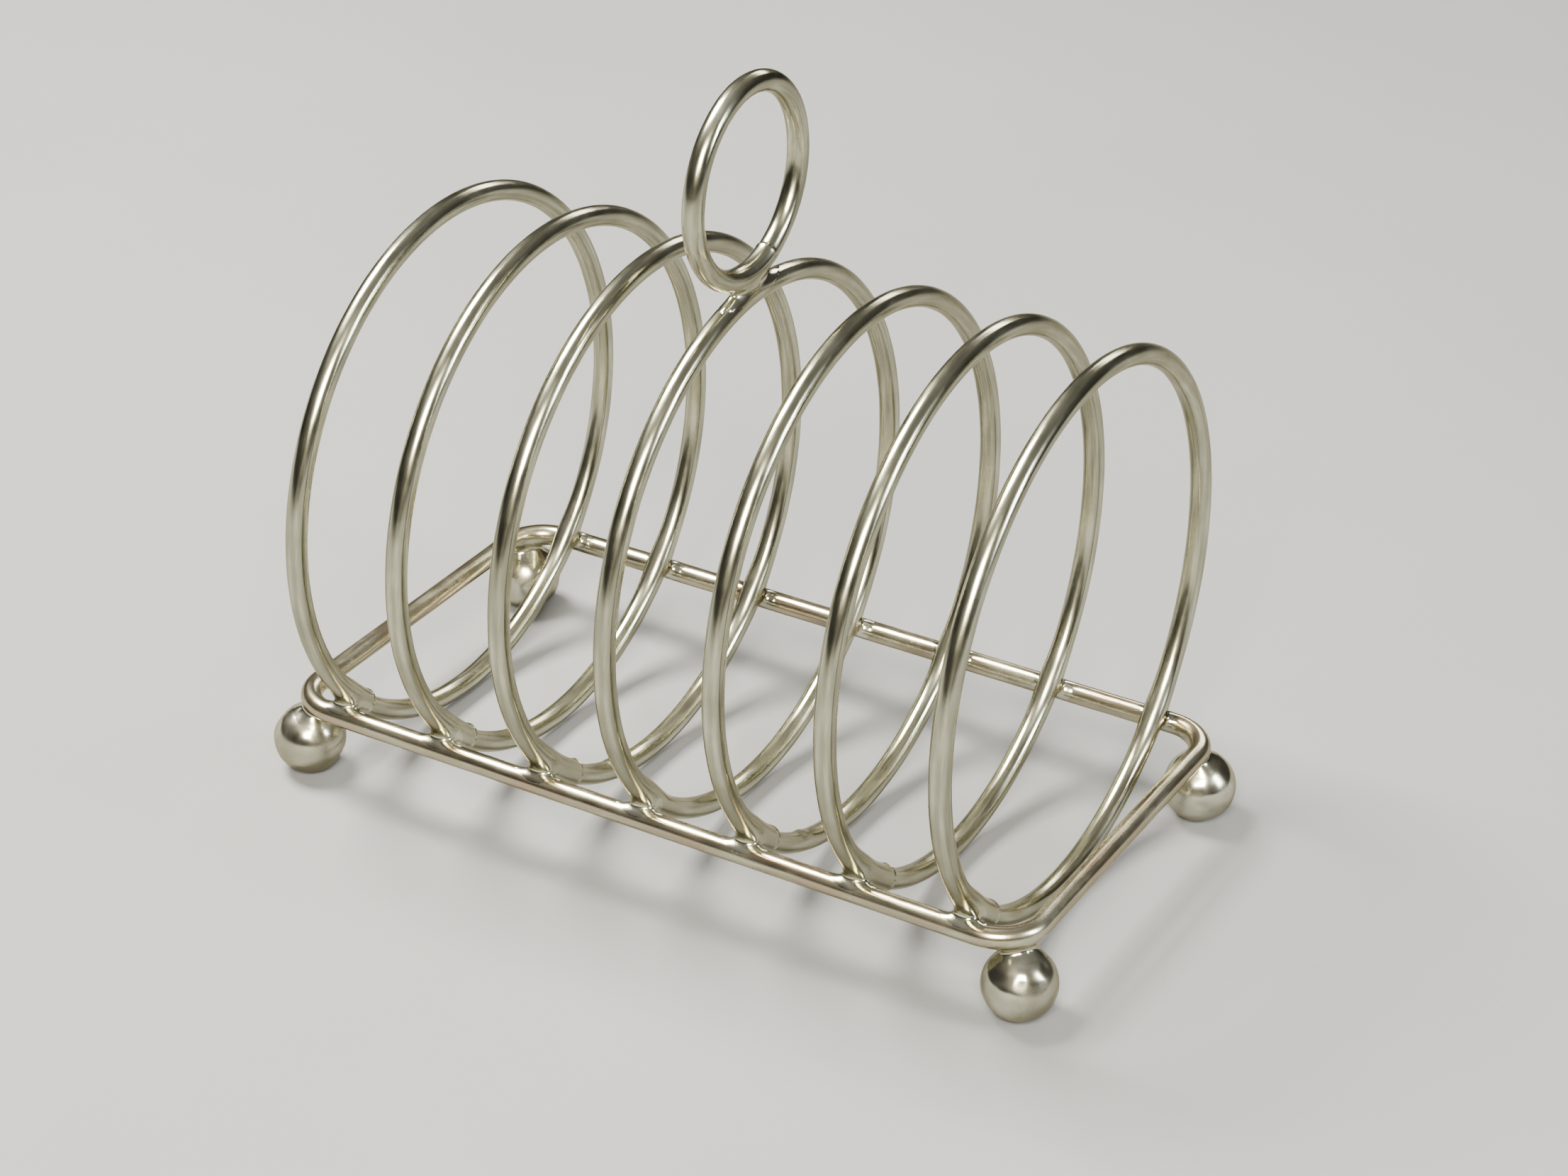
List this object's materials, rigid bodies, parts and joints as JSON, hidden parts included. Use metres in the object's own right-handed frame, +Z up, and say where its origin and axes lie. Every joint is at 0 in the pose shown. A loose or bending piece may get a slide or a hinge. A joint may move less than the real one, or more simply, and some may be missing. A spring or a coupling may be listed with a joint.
{
  "type": "toast rack",
  "caption": "Silver-plated wire toast rack: upright round hoops on a rectangular wire frame with ball feet and a ring handle on top.",
  "frame": {"origin": "on the table, at the centre of the rack's footprint, straight below the middle hoop", "axes": "+X along the row of hoops, +Y across the rack in the plane of each hoop, +Z up"},
  "size_m": [0.1332, 0.0852, 0.118],
  "materials": {
    "silver_plate": "aged silver plate on nickel silver: soft mirror with fine scratches and a faint warm tarnish",
    "worn_silver_plate": "more worn silver plate, slightly duller and warmer, with small dings",
    "silver_solder": "smooth bright silver solder, flowed between the wires"
  },
  "bodies": {
    "root": {"base_frame": "worn_silver_plate", "ring_handle": "silver_plate", "handle_solder": "silver_solder", "hoop_1": "silver_plate", "hoop_2": "silver_plate", "hoop_3": "silver_plate", "hoop_4": "silver_plate", "hoop_5": "silver_plate", "hoop_6": "silver_plate", "hoop_7": "silver_plate", "hoop_1_solder_front": "silver_solder", "hoop_1_solder_back": "silver_solder", "hoop_2_solder_front": "silver_solder", "hoop_2_solder_back": "silver_solder", "hoop_3_solder_front": "silver_solder", "hoop_3_solder_back": "silver_solder", "hoop_4_solder_front": "silver_solder", "hoop_4_solder_back": "silver_solder", "hoop_5_solder_front": "silver_solder", "hoop_5_solder_back": "silver_solder", "hoop_6_solder_front": "silver_solder", "hoop_6_solder_back": "silver_solder", "hoop_7_solder_front": "silver_solder", "hoop_7_solder_back": "silver_solder", "front_left_foot_ball": "worn_silver_plate", "front_right_foot_ball": "worn_silver_plate", "back_left_foot_ball": "worn_silver_plate", "back_right_foot_ball": "worn_silver_plate", "front_left_foot_solder": "silver_solder", "front_right_foot_solder": "silver_solder", "back_left_foot_solder": "silver_solder", "back_right_foot_solder": "silver_solder"}
  },
  "joints": []
}
